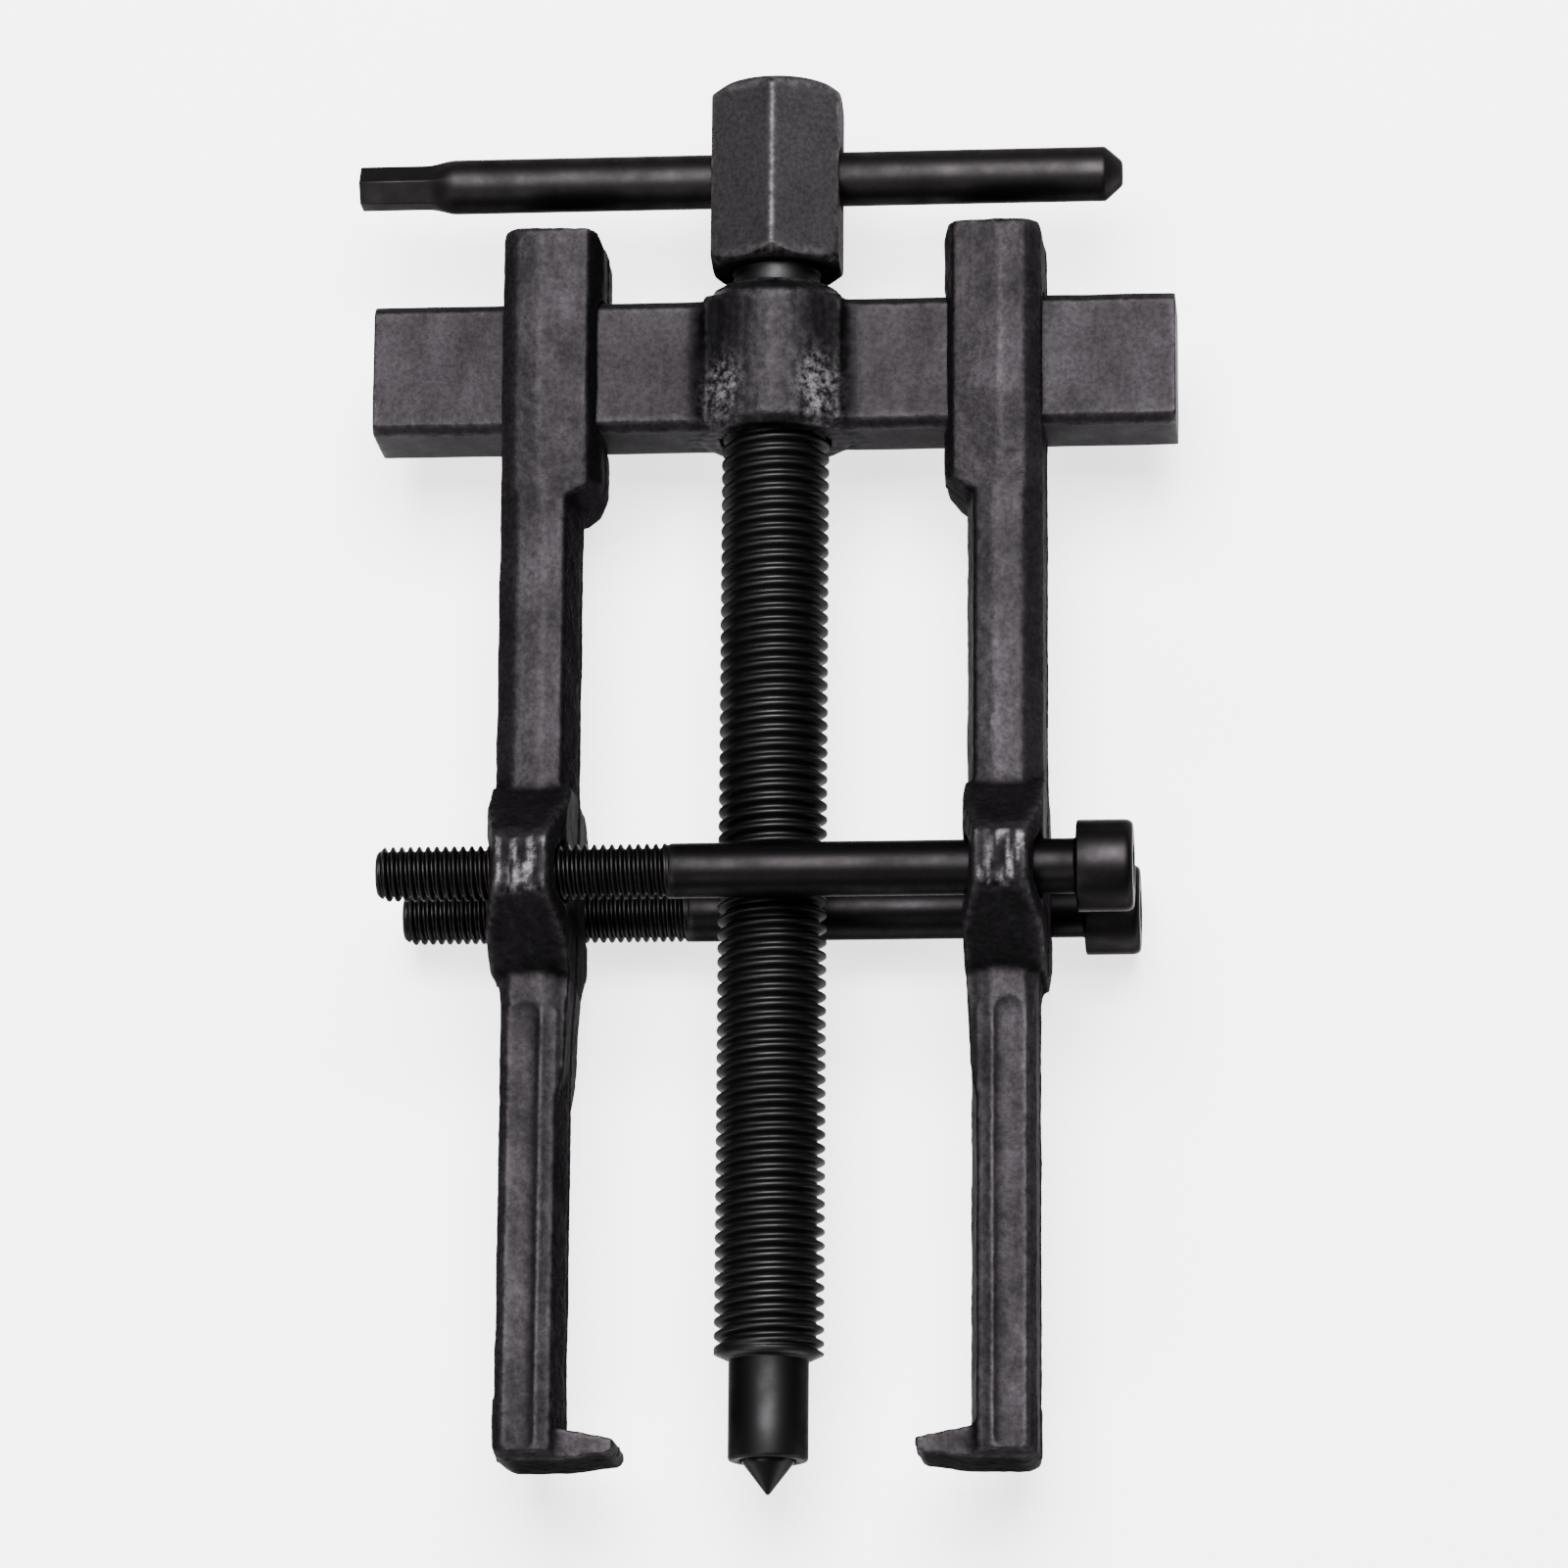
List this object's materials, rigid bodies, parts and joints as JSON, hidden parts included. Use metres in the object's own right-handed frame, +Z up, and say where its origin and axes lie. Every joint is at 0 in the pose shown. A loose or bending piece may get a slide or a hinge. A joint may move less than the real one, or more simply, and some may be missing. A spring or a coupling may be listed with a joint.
{
  "type": "two-jaw gear puller",
  "caption": "Two-jaw gear puller: forged jaws slide on a crossbeam, joined by side bolts, and a hexagon-headed forcing screw with a sliding handle pushes a centre point.",
  "frame": {"origin": "under the middle of the bounding box, on the plane that the rear bolt lugs rest on", "axes": "+X along the crossbeam towards the side bolts' heads, +Y along the forcing screw towards its hexagon head, +Z up from the back of the puller to its front"},
  "size_m": [0.1202, 0.2074, 0.044],
  "materials": {
    "forged_steel": "black phosphated drop forging, rough and dull, paler at worn edges",
    "black_oxide_steel": "oiled black oxide on turned and rolled steel, satin",
    "hardened_steel": "hardened and blackened, smooth",
    "bearing_steel": "polished ball and bright spring wire"
  },
  "bodies": {
    "beam": {"crossbeam": "forged_steel"},
    "left_arm": {"left_jaw": "forged_steel"},
    "right_arm": {"right_jaw": "forged_steel"},
    "point": {"centre_point": "hardened_steel", "thrust_ball": "bearing_steel", "point_retaining_ring": "bearing_steel"},
    "screw": {"forcing_screw": "black_oxide_steel"},
    "handle": {"sliding_handle": "black_oxide_steel"},
    "front_bolt": {"front_side_bolt": "black_oxide_steel"},
    "rear_bolt": {"rear_side_bolt": "black_oxide_steel"}
  },
  "joints": [
    {"name": "screw_feed", "type": "slide", "parent": "beam", "child": "point", "axis": [0, 1, 0], "range_m": [-0.00205, 0.13205]},
    {"name": "screw_spin", "type": "hinge", "parent": "point", "child": "screw", "pos_m": [0.0016, 0.06045, 0.022], "axis": [0, 1, 0], "range_deg": [-360, 23760]},
    {"name": "handle_slide", "type": "slide", "parent": "screw", "child": "handle", "axis": [1, 0, 0], "range_m": [-0.038, 0.038]},
    {"name": "left_jaw_slide", "type": "slide", "parent": "beam", "child": "left_arm", "axis": [1, 0, 0], "range_m": [-0.00755, 0.00755]},
    {"name": "right_jaw_slide", "type": "slide", "parent": "beam", "child": "right_arm", "axis": [1, 0, 0], "range_m": [-0.0075, 0.0075]},
    {"name": "front_bolt_spin", "type": "hinge", "parent": "right_arm", "child": "front_bolt", "pos_m": [0.0016, -0.01685, 0.036], "axis": [1, 0, 0], "range_deg": [-4330, 4330]},
    {"name": "rear_bolt_spin", "type": "hinge", "parent": "right_arm", "child": "rear_bolt", "pos_m": [0.0016, -0.01685, 0.008], "axis": [1, 0, 0], "range_deg": [-4330, 4330]}
  ],
  "couplings": [
    {"joint": "screw_feed", "follows": "screw_spin", "m_per_rad": 0.00031831},
    {"joint": "left_jaw_slide", "follows": "right_jaw_slide", "ratio": -1},
    {"joint": "front_bolt_spin", "follows": "right_jaw_slide", "rad_per_m": 10053},
    {"joint": "rear_bolt_spin", "follows": "right_jaw_slide", "rad_per_m": 10053}
  ]
}
